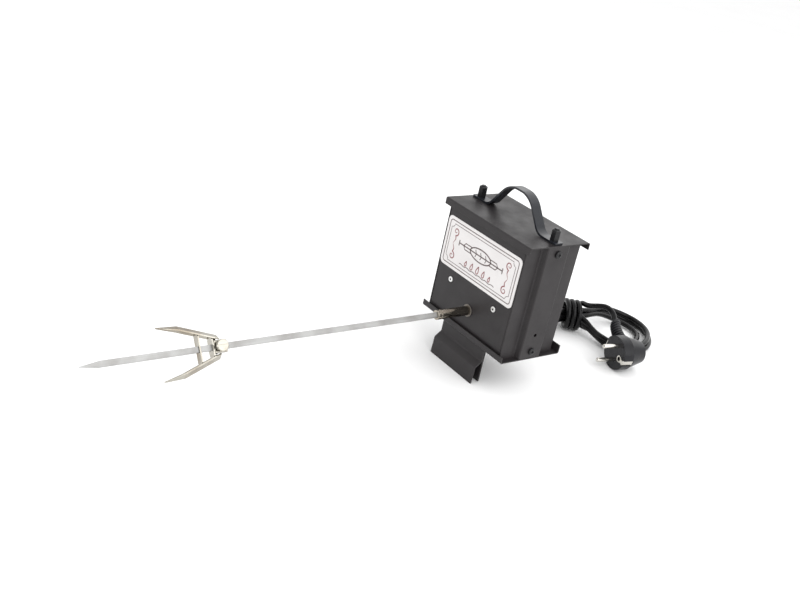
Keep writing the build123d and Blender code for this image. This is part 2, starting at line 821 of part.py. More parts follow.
turn = radians(spit_turn)
screw_side = Plane(origin=(0, panel_y - fork_screw_reach, spit_z), x_dir=(0, -1, 0),
                   z_dir=(cos(turn), 0, sin(turn)))

with BuildPart() as fork_hub:
    with BuildSketch(spit(hub_start)):
        RectangleRounded(hub_side, hub_side, 1.2)
    extrude(amount=near_plate - hub_start)
    with BuildSketch(spit(near_plate)):
        with BuildLine():
            Polyline(*plate_outline(near_plate, hub_side / 2), close=True)
        make_face()
    extrude(amount=fork_sheet)
    with BuildSketch(spit(0)):
        Rectangle(bar_hole, bar_hole)
    extrude(amount=bar_tip, mode=Mode.SUBTRACT)
    with BuildSketch(screw_side):
        Circle(screw_r + running)
    extrude(amount=hub_side, mode=Mode.SUBTRACT)
save(fork_hub, "fork_hub")

with BuildPart() as fork_brace:
    with BuildSketch(spit(far_plate)):
        with BuildLine():
            Polyline(*plate_outline(far_plate, prong_half - 0.8), close=True)
        make_face()
        Rectangle(bar_hole, bar_hole, mode=Mode.SUBTRACT)
    extrude(amount=fork_sheet)
save(fork_brace, "fork_brace")

screw_tip = bar_side / 2 + 0.3
screw_head = 7.0                # underside of the head from the spit's axis
fork_head_r = 5.3
fork_head_h = 3.4
with BuildPart() as fork_screw:
    with BuildSketch(screw_side.offset(screw_tip)):
        Circle(screw_r)
    extrude(amount=screw_head - screw_tip)
    with BuildSketch(screw_side.offset(screw_head)):
        Circle(fork_head_r)
    extrude(amount=fork_head_h)
    chamfer(fork_screw.edges().filter_by(GeomType.CIRCLE)
            .filter_by(lambda edge: edge.radius > screw_r + 1), length=0.6)
    with BuildSketch(screw_side.offset(screw_head + fork_head_h)):
        Rectangle(2 * fork_head_r, 1.2)
    extrude(amount=-1.2, mode=Mode.SUBTRACT)
save(fork_screw, "fork_screw")


def prong_section(reach, ridge, half, thickness, side):
    """Closed V of sheet: the ridge points away from the spit, the wings lean inwards."""
    wing = half * wing_slope
    return [(0, side * ridge), (half, side * (ridge - wing)),
            (half - 0.3, side * (ridge - wing - thickness)), (0, side * (ridge - 1.5 * thickness)),
            (-half + 0.3, side * (ridge - wing - thickness)), (-half, side * (ridge - wing))]


prong_stations = [(prong_foot[0], prong_foot[1], prong_half),
                  (prong_knee[0], prong_knee[1], prong_half),
                  (prong_tip[0], prong_tip[1], 0.7)]
for name, side in (("fork_prong_upper", 1), ("fork_prong_lower", -1)):
    with BuildPart() as prong:
        for start, end in zip(prong_stations, prong_stations[1:]):
            for reach, ridge, half in (start, end):
                thickness = fork_sheet if half > 1 else 0.5
                with BuildSketch(spit(reach)):
                    with BuildLine():
                        Polyline(*prong_section(reach, ridge, half, thickness, side), close=True)
                    make_face()
            loft(ruled=True)
    save(prong, name)

# ---------------------------------------------------------------- mains lead
cord_r = cord_d / 2
gland_flange_r = 8.5
gland_end = 30.0                # length of the strain relief behind the rear panel
relief_r = 3.9

with BuildPart() as cord_gland:
    with BuildSketch(facing(case_depth, gland_place[1], gland_place[0])):
        Circle(gland_hole - 0.05)
    extrude(amount=sheet)
    with BuildSketch(facing(case_depth - sheet, gland_place[1], gland_place[0])):
        Circle(gland_flange_r - 1.2)
        Circle(cord_r, mode=Mode.SUBTRACT)
    extrude(amount=2.5)
    with BuildSketch(facing(case_depth, gland_place[1], gland_place[0])):
        Circle(gland_flange_r)
    extrude(amount=-3.0)
    with BuildSketch(facing(case_depth + 3.0, gland_place[1], gland_place[0])):
        Circle(gland_hole)
    with BuildSketch(facing(case_depth + gland_end, gland_place[1], gland_place[0])):
        Circle(relief_r)
    loft()
save(cord_gland, "cord_gland")


def case_points(points):
    """Move route points from the case's width, depth and height to the row frame."""
    return [(x, panel_y + y, tray_z + z) for x, y, z in points]


lead_route = case_points([
    (gland_place[0], case_depth + gland_end, gland_place[1]),
    (-15.0, 114.0, 21.5),
    (-20.0, 128.0, 15.0),
    (-28.5, 142.0, 3.5),
    (-36.0, 156.0, -9.0),
    (-41.0, 169.0, -17.0),
    (-41.5, 182.0, -21.0),
])
tail_route = case_points([
    (-32.8, 205.8, -8.3),
    (-22.3, 203.4, -6.5),
    (-9.0, 204.6, -6.0),
    (3.5, 206.7, -8.7),
])
hank_middle = (-33.0, panel_y + 195.0)
hank_heading = 55.0             # direction of the hank's long axis, from +X
hank_stations = [               # along the hank, middle across it, half width, half height
    (-62, 0, 8, 3.5), (-45, 0, 22, 9), (-14, 0, 17.5, 17.5), (14, 0, 17.5, 17.5),
    (34, -9, 42, 11), (60, -3, 47, 8), (82, 4, 42, 6), (99, 6, 16, 3.5)]

plug_face = Vector(54.2, panel_y + 175.0, tray_z - 20.3)
plug_axis = Vector(0.2201, 0.9755, 0).normalized()              # from the face to the back
cable_side = Vector(-0.9555, 0.2156, 0.2012).normalized()       # towards the lead
boot_depth = 20.0
boot_start = 18.0
boot_end = 46.0
boot_r = 6.9
tail_route += [tuple(plug_face + plug_axis * boot_depth + cable_side * boot_end)]


def cord_tube(name, route):
    """Plain tube along a route, its bends as large as their runs allow."""
    radii = corner_radii(route)
    with BuildPart() as tube:
        with BuildLine() as path:
            FilletPolyline(*route, radius=radii)
        with BuildSketch(Plane(origin=route[0], z_dir=path.line % 0)):
            Circle(cord_r)
        sweep()
    save(tube, name)
    length = path.wire().length
    ratio = tube.part.volume / (pi * cord_r ** 2 * length)
    print(name, "length", round(length, 1), "radii", [round(r, 1) for r in radii],
          "volume ratio", round(ratio, 4))


cord_tube("power_cord", lead_route)
cord_tube("plug_tail", tail_route)


def across_hank(u):
    """Plane across the hank; its local y runs up from the floor."""
    turn = radians(hank_heading)
    return Plane(origin=(hank_middle[0] + u * cos(turn), hank_middle[1] + u * sin(turn), floor_z),
                 x_dir=(-sin(turn), cos(turn), 0), z_dir=(cos(turn), sin(turn), 0))


with BuildPart() as cord_hank:
    for u, middle, half_width, half_height in hank_stations:
        with BuildSketch(across_hank(u)):
            with Locations((middle, half_height)):
                Ellipse(half_width, half_height)
    loft(ruled=True)
save(cord_hank, "cord_hank")

# ---------------------------------------------------------------- mains plug
plug_r = 18.5
plug_rim = 12.0
plug_back = 32.0
plug_back_r = 12.0
pin_r = 2.4
pin_length = 19.0
pin_pitch = 19.0
clip_width = 6.0
clip_length = 13.0
clip_seat = 16.4                # bottom of each earth clip's groove from the plug's axis


def plug(depth):
    """Plane square to the plug's axis; local x runs to the lead, local y along the pins."""
    return Plane(origin=plug_face + plug_axis * depth, x_dir=cable_side, z_dir=plug_axis)


def along_cable(reach):
    """Plane square to the cable where it leaves the side of the plug."""
    return Plane(origin=plug_face + plug_axis * boot_depth + cable_side * reach,
                 x_dir=plug_axis, z_dir=cable_side)


with BuildPart() as plug_body:
    with BuildSketch(plug(0)):
        Circle(plug_r)
    extrude(amount=plug_rim)
    with BuildSketch(plug(plug_rim)):
        Circle(plug_r - 0.6)
    with BuildSketch(plug(plug_back)):
        Circle(plug_back_r)
    loft()
    with BuildSketch(along_cable(4.0)):
        Ellipse(9.5, 8.5)
    with BuildSketch(along_cable(boot_start)):
        Ellipse(7.0, 7.0)
    loft()
    with BuildSketch(plug(0)):
        with Locations((-clip_seat - 2.5, 0), (clip_seat + 2.5, 0)):
            Rectangle(5.0, clip_width + 0.4)
    extrude(amount=clip_length + 0.5, mode=Mode.SUBTRACT)
    with BuildSketch(plug(0)):
        with Locations((-10.0, 0)):
            Circle(2.7)
    extrude(amount=14.0, mode=Mode.SUBTRACT)
save(plug_body, "plug_body")

with BuildPart() as plug_earth_clips:
    with BuildSketch(plug(0)):
        with Locations((-clip_seat - 0.4, 0), (clip_seat + 0.4, 0)):
            Rectangle(0.8, clip_width)
    extrude(amount=clip_length)
save(plug_earth_clips, "plug_earth_clips")

with BuildPart() as plug_pins:
    with BuildSketch(plug(0)):
        with GridLocations(0, pin_pitch, 1, 2):
            Circle(pin_r)
    extrude(amount=-pin_length)
    fillet(plug_pins.edges().filter_by(GeomType.CIRCLE)
           .filter_by(lambda edge: (edge.center() - plug_face).dot(plug_axis) < -1), radius=1.5)
save(plug_pins, "plug_pins")

with BuildPart() as plug_boot:
    with BuildSketch(along_cable(boot_start)):
        Circle(boot_r)
    with BuildSketch(along_cable(boot_end)):
        Circle(boot_r - 1.6)
    loft()
save(plug_boot, "plug_boot")
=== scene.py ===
"""Looks for the rotisserie motor box, its spit and its bundled mains lead.

Lengths are metres unless a comment or a docstring says mm.
"""
import json
import math

import bmesh
import bpy
from mathutils import Matrix, Vector


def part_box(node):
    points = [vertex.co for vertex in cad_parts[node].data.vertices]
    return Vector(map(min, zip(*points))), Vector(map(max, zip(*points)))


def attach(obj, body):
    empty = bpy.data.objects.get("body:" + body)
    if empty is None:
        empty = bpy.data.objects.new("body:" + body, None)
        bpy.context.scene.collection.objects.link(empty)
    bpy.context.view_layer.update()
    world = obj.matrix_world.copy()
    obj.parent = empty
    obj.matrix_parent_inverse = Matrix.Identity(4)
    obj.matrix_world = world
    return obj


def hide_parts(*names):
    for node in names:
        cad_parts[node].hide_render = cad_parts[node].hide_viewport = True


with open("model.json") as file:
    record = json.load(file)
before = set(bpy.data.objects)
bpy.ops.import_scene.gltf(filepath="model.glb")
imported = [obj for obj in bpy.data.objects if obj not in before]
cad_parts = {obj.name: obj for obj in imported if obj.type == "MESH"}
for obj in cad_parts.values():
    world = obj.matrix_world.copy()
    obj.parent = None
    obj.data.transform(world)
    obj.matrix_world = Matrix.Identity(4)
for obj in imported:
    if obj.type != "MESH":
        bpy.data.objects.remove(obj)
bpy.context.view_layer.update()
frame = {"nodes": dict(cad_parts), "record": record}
NODES = frame["nodes"]
MM = 0.001

# ---------------------------------------------------------------- places taken from the frame
HOOK_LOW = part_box("hook_front_plate")[0].z          # the surface the lead lies on
LABEL_LOW, LABEL_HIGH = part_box("label_plate")


# ---------------------------------------------------------------- camera
CAMERA_PLACE = (0.640, -0.634, 0.453)
CAMERA_RIGHT = (0.566, 0.803, 0.189)
CAMERA_BACK = (0.693, -0.587, 0.418)


def make_camera():
    """Camera in front of the box, to its right and above it, rolled so that the box leans."""
    data = bpy.data.cameras.new("camera")
    data.lens = 45
    data.sensor_width = 36
    data.clip_start = 0.01
    camera = bpy.data.objects.new("camera", data)
    right = Vector(CAMERA_RIGHT).normalized()
    back = Vector(CAMERA_BACK)
    back = (back - right * back.dot(right)).normalized()
    up = back.cross(right)
    turn = Matrix((right, up, back)).transposed().to_4x4()
    camera.matrix_world = Matrix.Translation(CAMERA_PLACE) @ turn
    bpy.context.scene.collection.objects.link(camera)
    bpy.context.scene.camera = camera


make_camera()


# ---------------------------------------------------------------- shader building blocks
BEVEL_SAMPLES = 6


def shader(name):
    """New material with its node tree and its Principled shader."""
    made = bpy.data.materials.new(name)
    made.use_nodes = True
    return made, made.node_tree, made.node_tree.nodes["Principled BSDF"]


def add(tree, kind, inputs=(), **settings):
    """New node; inputs is pairs of socket index or name and a value or an output."""
    node = tree.nodes.new("ShaderNode" + kind)
    for key, value in settings.items():
        setattr(node, key, value)
    for key, value in inputs:
        if isinstance(value, bpy.types.NodeSocket):
            tree.links.new(value, node.inputs[key])
        else:
            node.inputs[key].default_value = value
    return node


def noise(tree, scale, stretch=(1, 1, 1), detail=3):
    """Noise over the row frame, with scale times stretch cells to the metre."""
    place = add(tree, "TexCoord").outputs["Object"]
    mapped = add(tree, "Mapping", [("Vector", place), ("Scale", [scale * k for k in stretch])])
    return add(tree, "TexNoise", [("Vector", mapped.outputs[0]), ("Scale", 1.0),
                                  ("Detail", detail)]).outputs[0]


def spread(tree, value, low, high, start=0.3, end=0.7):
    """Value from start to end spread over low to high, held at the ends."""
    return add(tree, "MapRange", [("Value", value), ("From Min", start), ("From Max", end),
                                  ("To Min", low), ("To Max", high)]).outputs[0]


def blend_colour(tree, factor, first, second):
    """Colour mix; first and second are colours or outputs."""
    mix = add(tree, "Mix", [(0, factor)], data_type="RGBA")
    for index, value in ((6, first), (7, second)):
        if isinstance(value, bpy.types.NodeSocket):
            tree.links.new(value, mix.inputs[index])
        else:
            mix.inputs[index].default_value = (*value, 1)
    return mix.outputs[2]


def rounded(tree, radius):
    """Normal with the sharp edges rounded to radius."""
    return add(tree, "Bevel", [("Radius", radius)], samples=BEVEL_SAMPLES).outputs[0]


def edges(tree, radius):
    """1 along sharp edges, 0 on open faces."""
    turned_normal = rounded(tree, radius)
    flat = add(tree, "NewGeometry").outputs["Normal"]
    dot = add(tree, "VectorMath", [(0, turned_normal), (1, flat)], operation="DOT_PRODUCT")
    slight, strong = 0.02, 0.25          # how far the two normals part
    return spread(tree, dot.outputs["Value"], 0.0, 1.0, 1 - slight, 1 - strong)


def bumps(tree, height, strength, distance, normal=None):
    """Normal with the height's relief, on top of normal where one is given."""
    inputs = [("Height", height), ("Strength", strength), ("Distance", distance)]
    if normal is not None:
        inputs.append(("Normal", normal))
    return add(tree, "Bump", inputs).outputs[0]


def join(tree, bsdf, colour, rough, normal):
    """Links the three outputs to the shader."""
    tree.links.new(colour, bsdf.inputs["Base Color"])
    tree.links.new(rough, bsdf.inputs["Roughness"])
    tree.links.new(normal, bsdf.inputs["Normal"])


def shade(colour, factor):
    """Colour times factor, held at 1."""
    return tuple(min(1.0, c * factor) for c in colour)


# ---------------------------------------------------------------- material families
def painted(name, colour, worn, rough, grain, coat, wear=0.6):
    """Sprayed paint: faint mottling, orange peel, and a lighter worn line on the edges."""
    made, tree, bsdf = shader(name)
    mottled = blend_colour(tree, spread(tree, noise(tree, 35), 0, 1),
                           shade(colour, 0.88), shade(colour, 1.13))
    scuffs = spread(tree, noise(tree, 260, detail=5), 0, wear, 0.45, 0.65)
    mask = add(tree, "Math", [(0, edges(tree, 0.5 * MM)), (1, scuffs)], operation="MULTIPLY")
    colour_out = blend_colour(tree, mask.outputs[0], mottled, worn)
    smudges = spread(tree, noise(tree, 60, detail=6), rough - 0.07, rough + 0.08)
    soft = rounded(tree, 0.35 * MM)
    peel = bumps(tree, noise(tree, 1500, detail=2), grain, 0.06 * MM, soft)
    join(tree, bsdf, colour_out, smudges, peel)
    bsdf.inputs["Specular IOR Level"].default_value = 0.32
    bsdf.inputs["Coat Weight"].default_value = coat
    bsdf.inputs["Coat Roughness"].default_value = 0.28
    return made


def metal(name, colour, tint, rough, stretch, scratch=0.25, heat=0.35):
    """Drawn or brushed metal with patches of tint; its lines run where stretch is smallest."""
    made, tree, bsdf = shader(name)
    lines = noise(tree, 900, stretch, 4)
    streaked = blend_colour(tree, spread(tree, lines, 0, 1),
                            shade(colour, 0.86), shade(colour, 1.08))
    patches = spread(tree, noise(tree, 45, detail=5), 0, heat, 0.42, 0.68)
    tinted = blend_colour(tree, patches, streaked, tint)
    rubbed = blend_colour(tree, edges(tree, 0.3 * MM), tinted, shade(colour, 1.2))
    gloss = spread(tree, lines, rough - 0.05, rough + 0.08)
    soft = rounded(tree, 0.25 * MM)
    join(tree, bsdf, rubbed, gloss, bumps(tree, lines, scratch, 0.02 * MM, soft))
    bsdf.inputs["Metallic"].default_value = 1.0
    return made


def moulded(name, colour, rough, grain, scale=1400, wear=0.25, gloss=0.4):
    """Moulded plastic or rubber: fine grain, and lighter edges where it is rubbed."""
    made, tree, bsdf = shader(name)
    uneven = blend_colour(tree, spread(tree, noise(tree, 70), 0, 1),
                          shade(colour, 0.85), shade(colour, 1.2))
    rubbed = blend_colour(tree, spread(tree, edges(tree, 0.4 * MM), 0, wear, 0, 1), uneven,
                          shade(colour, 2.2))
    polish = spread(tree, noise(tree, 110, detail=5), rough - 0.06, rough + 0.08)
    soft = rounded(tree, 0.5 * MM)
    relief = bumps(tree, noise(tree, scale, detail=2), grain, 0.05 * MM, soft)
    join(tree, bsdf, rubbed, polish, relief)
    bsdf.inputs["Specular IOR Level"].default_value = gloss
    return made


def sintered(name, colour, rough):
    """Porous metal: fine dark pores in a granular, oily surface."""
    made, tree, bsdf = shader(name)
    cells = add(tree, "TexVoronoi", [("Vector", add(tree, "TexCoord").outputs["Object"]),
                                     ("Scale", 3500)]).outputs["Distance"]
    pores = spread(tree, cells, 0, 1, 0.05, 0.3)
    oily = blend_colour(tree, spread(tree, noise(tree, 120), 0, 1), shade(colour, 0.75), colour)
    join(tree, bsdf, blend_colour(tree, pores, shade(colour, 0.35), oily),
         spread(tree, noise(tree, 90), rough - 0.08, rough + 0.1),
         bumps(tree, pores, 0.4, 0.03 * MM))
    bsdf.inputs["Metallic"].default_value = 1.0
    return made


# ---------------------------------------------------------------- single materials
EVENLY = (1, 1, 1)
ALONG_BAR = (1.0, 0.02, 1.0)          # long streaks in y


def rivet_metal():
    """Bright aluminium rivet heads; the dark disk in the middle is painted shade in the hollow
    round the broken stem.
    """
    made = metal("rivet_aluminium", (0.78, 0.78, 0.77), (0.62, 0.61, 0.60), 0.34, EVENLY, 0.2, 0.2)
    tree = made.node_tree
    bsdf = tree.nodes["Principled BSDF"]
    place = add(tree, "SeparateXYZ", [(0, add(tree, "TexCoord").outputs["Object"])])
    low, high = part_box("panel_rivets")
    across = (high.x - low.x) / 2 - (high.z - low.z) / 2          # of each rivet from x = 0
    side = add(tree, "Math", [(0, place.outputs["X"])], operation="ABSOLUTE").outputs[0]
    right = add(tree, "Math", [(0, side), (1, across)], operation="SUBTRACT").outputs[0]
    up = add(tree, "Math", [(0, place.outputs["Z"]), (1, (high.z + low.z) / 2)],
             operation="SUBTRACT").outputs[0]
    flat = add(tree, "CombineXYZ", [(0, right), (1, up)]).outputs[0]
    reach = add(tree, "VectorMath", [(0, flat)], operation="LENGTH").outputs["Value"]
    # painted shade: a near-black disk in the hollow middle of each rivet head
    hole_shade = spread(tree, reach, 1, 0, 0.9 * MM, 1.25 * MM)
    head = bsdf.inputs["Base Color"].links[0].from_socket
    tree.links.new(blend_colour(tree, hole_shade, head, (0.10, 0.10, 0.11)), bsdf.inputs["Base Color"])
    return made


def label_white():
    """Satin white printed plate, a little yellowed, with fine dirt near its edges."""
    made, tree, bsdf = shader("label_face")
    paper = blend_colour(tree, spread(tree, noise(tree, 30), 0, 1),
                         (0.66, 0.635, 0.63), (0.72, 0.70, 0.695))
    dirt = spread(tree, noise(tree, 700, detail=6), 0, 0.5, 0.5, 0.75)
    grime = add(tree, "Math", [(0, edges(tree, 0.8 * MM)), (1, dirt)], operation="MULTIPLY")
    join(tree, bsdf, blend_colour(tree, grime.outputs[0], paper, (0.45, 0.41, 0.36)),
         spread(tree, noise(tree, 80), 0.30, 0.42), bumps(tree, noise(tree, 900), 0.06, 0.03 * MM))
    return made


def ink(name, colour):
    """Screen-printed ink: slightly uneven cover and its own gloss."""
    made, tree, bsdf = shader(name)
    cover = blend_colour(tree, spread(tree, noise(tree, 1800, detail=4), 0, 1, 0.4, 0.75),
                         colour, tuple(0.7 * c + 0.16 for c in colour))
    join(tree, bsdf, cover, spread(tree, noise(tree, 500), 0.38, 0.52),
         bumps(tree, noise(tree, 2500), 0.1, 0.02 * MM))
    return made


def enamelled_copper():
    """Wound copper wire under clear enamel, one ridge for each turn; the darker copper in the
    grooves and the lighter copper on the crowns are painted shade and painted highlight.
    """
    made, tree, bsdf = shader("copper_wire")
    place = add(tree, "SeparateXYZ", [(0, add(tree, "TexCoord").outputs["Object"])]).outputs["Y"]
    wire_turn = 26000.0          # radians to the metre, so 0.24 mm a turn
    turns = add(tree, "Math", [(0, place), (1, wire_turn)], operation="MULTIPLY").outputs[0]
    ridge = add(tree, "Math", [(0, turns)], operation="SINE").outputs[0]
    # painted shade in each groove and painted highlight on each crown, following the ridges
    join(tree, bsdf, blend_colour(tree, spread(tree, ridge, 0, 1, -1, 1),
                                  (0.36, 0.13, 0.05), (0.78, 0.36, 0.16)),
         spread(tree, noise(tree, 200), 0.22, 0.34), bumps(tree, ridge, 0.6, 0.1 * MM))
    bsdf.inputs["Metallic"].default_value = 0.8
    bsdf.inputs["Coat Weight"].default_value = 0.7
    return made


MATERIALS = {
    "case_paint": painted("case_paint", (0.018, 0.0155, 0.0165), (0.10, 0.092, 0.092),
                          0.46, 0.20, 0.03),
    "handle_black": painted("handle_black", (0.006, 0.0075, 0.012), (0.08, 0.09, 0.11),
                            0.34, 0.14, 0.25),
    "black_steel": painted("black_steel", (0.006, 0.006, 0.007), (0.12, 0.12, 0.13),
                           0.34, 0.12, 0.05),
    "zinc_steel": metal("zinc_steel", (0.60, 0.61, 0.62), (0.62, 0.60, 0.50), 0.34, (1, 0.3, 1)),
    "bar_steel": metal("bar_steel", (0.34, 0.34, 0.335), (0.17, 0.16, 0.15), 0.40, ALONG_BAR,
                       0.22, 0.55),
    "stainless": metal("stainless", (0.44, 0.42, 0.37), (0.17, 0.12, 0.07), 0.15, ALONG_BAR,
                       0.10, 0.75),
    "rivet_aluminium": rivet_metal(),
    "label_face": label_white(),
    "bush_steel": metal("bush_steel", (0.19, 0.175, 0.16), (0.09, 0.07, 0.05), 0.34, EVENLY),
    "socket_steel": metal("socket_steel", (0.40, 0.365, 0.31), (0.13, 0.095, 0.06), 0.16, ALONG_BAR,
                          0.05, 0.45),
    "bronze": sintered("bronze", (0.52, 0.34, 0.17), 0.42),
    "brass": metal("brass", (0.76, 0.58, 0.27), (0.50, 0.36, 0.18), 0.28, (1, 0.2, 1)),
    "nickel": metal("nickel", (0.60, 0.585, 0.55), (0.62, 0.58, 0.50), 0.18, (1, 0.15, 1),
                    0.12, 0.3),
    "acetal": moulded("acetal", (0.80, 0.79, 0.73), 0.38, 0.10, wear=0.05),
    "copper_wire": enamelled_copper(),
    "bobbin_plastic": moulded("bobbin_plastic", (0.72, 0.71, 0.68), 0.45, 0.12, wear=0.05),
    "ferrite": moulded("ferrite", (0.055, 0.055, 0.060), 0.62, 0.5, 2600),
    "block_plastic": moulded("block_plastic", (0.82, 0.80, 0.74), 0.40, 0.12, wear=0.05),
    "cord_black": moulded("cord_black", (0.003, 0.0028, 0.0032), 0.27, 0.10, 1100, 0.0, 0.22),
    "plug_black": moulded("plug_black", (0.004, 0.004, 0.0062), 0.28, 0.16, 1700, 0.25, 0.30),
}

OTHER_FINISH = {"front_bush": "bush_steel", "spit_socket": "socket_steel"}


def dress_nodes():
    """Every CAD node takes the material of its slot in the record, or its own finish."""
    for row in frame["record"]["subparts"]:
        node = NODES[row["node"]]
        for place in node.material_slots:
            place.material = MATERIALS[OTHER_FINISH.get(row["node"], row["material_slot"])]


dress_nodes()


# ---------------------------------------------------------------- mesh helpers
def mesh_piece(name, build, body, materials, smooth=True):
    """Object of the mesh that build fills; it rides on body."""
    mesh = bmesh.new()
    build(mesh)
    bmesh.ops.recalc_face_normals(mesh, faces=mesh.faces)
    data = bpy.data.meshes.new(name)
    mesh.to_mesh(data)
    mesh.free()
    for material in materials:
        data.materials.append(material)
    if smooth:
        data.shade_smooth()
    piece = bpy.data.objects.new(name, data)
    bpy.context.scene.collection.objects.link(piece)
    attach(piece, body)
    return piece


def turned(mesh, place, profile, sides):
    """Solid of revolution: profile is (reach, radius) pairs; place maps x, y and reach."""
    rings = []
    for reach, radius in profile:
        rings.append([mesh.verts.new(place(radius * math.cos(math.tau * i / sides),
                                           radius * math.sin(math.tau * i / sides), reach))
                      for i in range(sides)])
    for low, high in zip(rings, rings[1:]):
        for i in range(sides):
            j = (i + 1) % sides
            mesh.faces.new((low[i], low[j], high[j], high[i]))


# ---------------------------------------------------------------- label print
LABEL_MIDDLE = (LABEL_LOW + LABEL_HIGH) / 2
PRINT_Y = LABEL_LOW.y
PRINT_THICK = 0.05 * MM
BROWN, RED = 0, 1          # the inks' indices on the print; the sizes below are in mm
OUTER_FRAME = (51.8, 22.2, 3.0)          # half width, half height and corner radius
INNER_FRAME = (48.6, 19.2, 4.0)
CURL_AT = (40.5, 12.6)
CURL_TURNS = 1.25
CURL_SIZE = 8.5
SPIT_Z = 4.0
ROAST_HALF = (15.5, 6.4)
FIRE_Z = -14.5


def ribbon(mesh, points, width, closed=False, ink_index=BROWN):
    """Flat printed line through points (x, z) in mm from the middle of the label.

    width is one width in mm, or a list with one for each point.
    """
    count = len(points)
    sides = []
    for i, point in enumerate(points):
        before = points[i - 1] if closed or i > 0 else point
        after = points[(i + 1) % count] if closed or i < count - 1 else point
        along = Vector((after[0] - before[0], after[1] - before[1])).normalized()
        half = width[i] / 2 if isinstance(width, list) else width / 2
        sides.append([(point[0] - along.y * half * k, point[1] + along.x * half * k)
                      for k in (1, -1)])
    layers = []
    for depth in (PRINT_Y - PRINT_THICK, PRINT_Y + PRINT_THICK):
        layers.append([[mesh.verts.new((LABEL_MIDDLE.x + x * MM, depth, LABEL_MIDDLE.z + z * MM))
                        for x, z in pair] for pair in sides])
    front, behind = layers
    faces = []
    for i in range(count if closed else count - 1):
        j = (i + 1) % count
        faces += [(front[i][0], front[j][0], front[j][1], front[i][1]),
                  (behind[i][0], behind[i][1], behind[j][1], behind[j][0]),
                  (front[i][0], behind[i][0], behind[j][0], front[j][0]),
                  (front[i][1], front[j][1], behind[j][1], behind[i][1])]
    if not closed:
        for i in (0, count - 1):
            faces.append((front[i][0], front[i][1], behind[i][1], behind[i][0]))
    for face in faces:
        mesh.faces.new(face).material_index = ink_index


def rounded_frame(half_x, half_z, radius, scooped=False):
    """Rectangle outline with rounded corners, or with corners scooped inwards."""
    points = []
    for corner, (sx, sz) in enumerate(((1, 1), (-1, 1), (-1, -1), (1, -1))):
        for step in range(7):
            turn = math.radians(90 * corner + 15 * step)
            if scooped:
                turn = math.radians(90 * corner - 90 - 15 * step)
                centre = (sx * half_x, sz * half_z)
            else:
                centre = (sx * (half_x - radius), sz * (half_z - radius))
            points.append((centre[0] + radius * math.cos(turn),
                           centre[1] + radius * math.sin(turn)))
    return points


def curl(mesh, at, mirror_x, mirror_z):
    """Plain spiral that tapers into a wavy tail, for one corner."""
    points, widths = [], []
    steps = 26
    for i in range(steps + 1):
        part = i / steps
        turn = math.tau * CURL_TURNS * part
        radius = CURL_SIZE * (0.16 + 0.84 * part) * 0.5
        points.append((at[0] + mirror_x * radius * math.cos(turn),
                       at[1] + mirror_z * radius * math.sin(turn)))
        widths.append(0.5 + 0.9 * part)
    last_x, last_z = points[-1]
    for i in range(1, 9):
        points.append((last_x + mirror_x * (1.1 * math.sin(i * 0.55) - 0.05 * i),
                       last_z + mirror_z * 1.05 * i))
        widths.append(1.4 - 0.13 * i)
    ribbon(mesh, points, widths, ink_index=RED)


def flame(mesh, x, z, height):
    """Closed teardrop outline with a curled tip."""
    points = []
    for i in range(20):
        part = math.tau * i / 20
        rise = (1 - math.cos(part)) / 2
        points.append((x + 0.30 * height * math.sin(part) * (1 - rise) ** 0.6
                       + 0.16 * height * rise * rise, z + height * rise))
    ribbon(mesh, points, 1.0, closed=True, ink_index=RED)


def draw_label(mesh):
    """Double frame, four corner curls and a plain picture of a roast turning over a fire."""
    ribbon(mesh, rounded_frame(*OUTER_FRAME), 0.9, closed=True)
    ribbon(mesh, rounded_frame(*INNER_FRAME, scooped=True), 0.6, closed=True)
    for sx in (1, -1):
        for sz in (1, -1):
            curl(mesh, (sx * CURL_AT[0], sz * CURL_AT[1]), -sx, -sz)
    ribbon(mesh, [(-33, SPIT_Z), (33, SPIT_Z)], 1.2)
    for side in (1, -1):
        ribbon(mesh, [(side * 33, SPIT_Z + 3), (side * 33, SPIT_Z - 3)], 1.2)
        for rise in (3.2, -3.2):
            ribbon(mesh, [(side * 26, SPIT_Z), (side * 23.5, SPIT_Z + rise),
                          (side * 14, SPIT_Z + rise)], 1.0)
    roast = [(ROAST_HALF[0] * math.cos(math.tau * i / 36),
              SPIT_Z + ROAST_HALF[1] * math.sin(math.tau * i / 36)) for i in range(36)]
    ribbon(mesh, roast, 1.3, closed=True)
    for x in (-7.5, 0.0, 7.5):
        ribbon(mesh, [(x + 1.1 * math.sin(0.5 * i), SPIT_Z + 0.9 * (i - 4)) for i in range(9)], 0.9)
    for x, height in ((-18, 5.5), (-9, 7.0), (0, 8.0), (9, 7.0), (18, 5.5)):
        flame(mesh, x, FIRE_Z, height)
    embers = [(-27 + 2.0 * i, FIRE_Z - 1.1 + 0.5 * math.sin(i * 1.3)) for i in range(28)]
    ribbon(mesh, embers, 0.8)


mesh_piece("label_print", draw_label, "box",
           [ink("ink_brown", (0.055, 0.022, 0.020)), ink("ink_red", (0.20, 0.028, 0.030))], False)

# ---------------------------------------------------------------- plug details
PLUG_FACE = Vector((54.2, 171.0, -0.3)) * MM
PLUG_AXIS = Vector((0.2201, 0.9755, 0)).normalized()          # from the face to the back
CABLE_SIDE = Vector((-0.9555, 0.2156, 0.2012)).normalized()   # towards the lead
PIN_SIDE = PLUG_AXIS.cross(CABLE_SIDE)
BOOT_DEPTH = 20                                               # of the cable's axis, in mm
BOOT_START, BOOT_END = 18.0, 46.0
BOOT_BEND = Vector((2.4, 5.5, 3.7))                           # of the boot's end, in mm
BORE_R = 3.1                                                  # just over the lead's, in mm


def on_plug(x, y, depth):
    """Point x to the lead, y along the pins, depth behind the face, in mm."""
    return PLUG_FACE + (CABLE_SIDE * x + PIN_SIDE * y + PLUG_AXIS * depth) * MM


